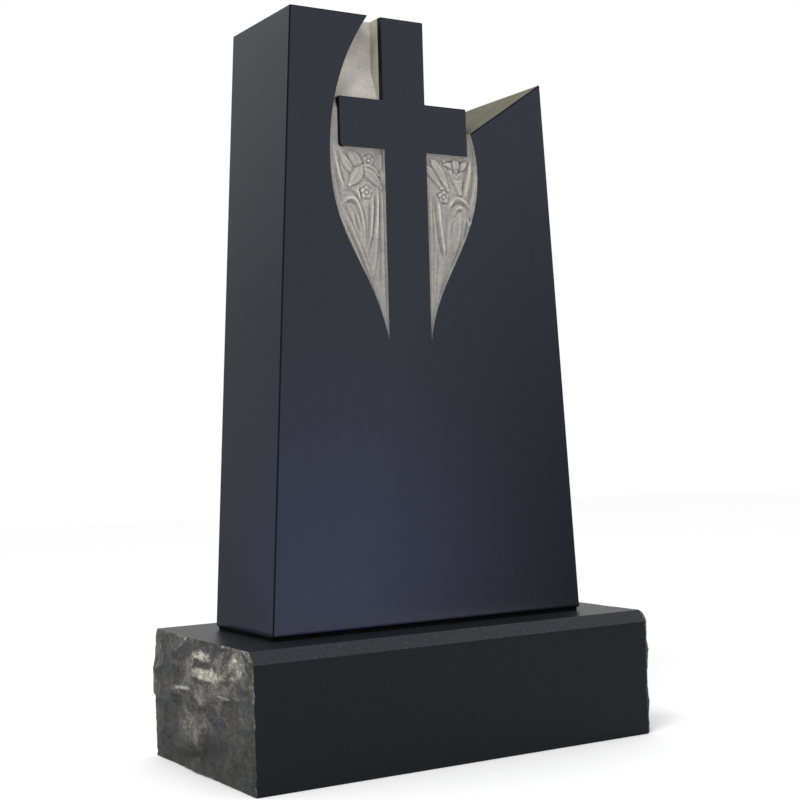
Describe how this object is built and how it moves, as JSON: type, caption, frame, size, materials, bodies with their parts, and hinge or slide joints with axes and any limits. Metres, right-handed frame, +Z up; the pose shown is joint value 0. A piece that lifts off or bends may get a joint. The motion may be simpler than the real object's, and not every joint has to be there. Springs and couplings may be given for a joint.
{
  "type": "granite headstone",
  "caption": "Upright polished dark granite headstone with tapering sides, a flush Latin cross between sunk carved lily panels, a sloping cut shoulder and a rock-pitched base.",
  "frame": {"origin": "middle of the base's underside, where the stone stands on the ground", "axes": "+Z up, the carved face looks along -Y, +X to the viewer's right; the height along Z is the longest side"},
  "size_m": [0.759, 0.366, 1.1641],
  "materials": {
    "base_granite": "polished",
    "setting_compound": "matte",
    "tablet_granite": "polished"
  },
  "bodies": {
    "root": {"base": "base_granite", "setting_bed": "setting_compound", "tablet": "tablet_granite"}
  },
  "joints": []
}
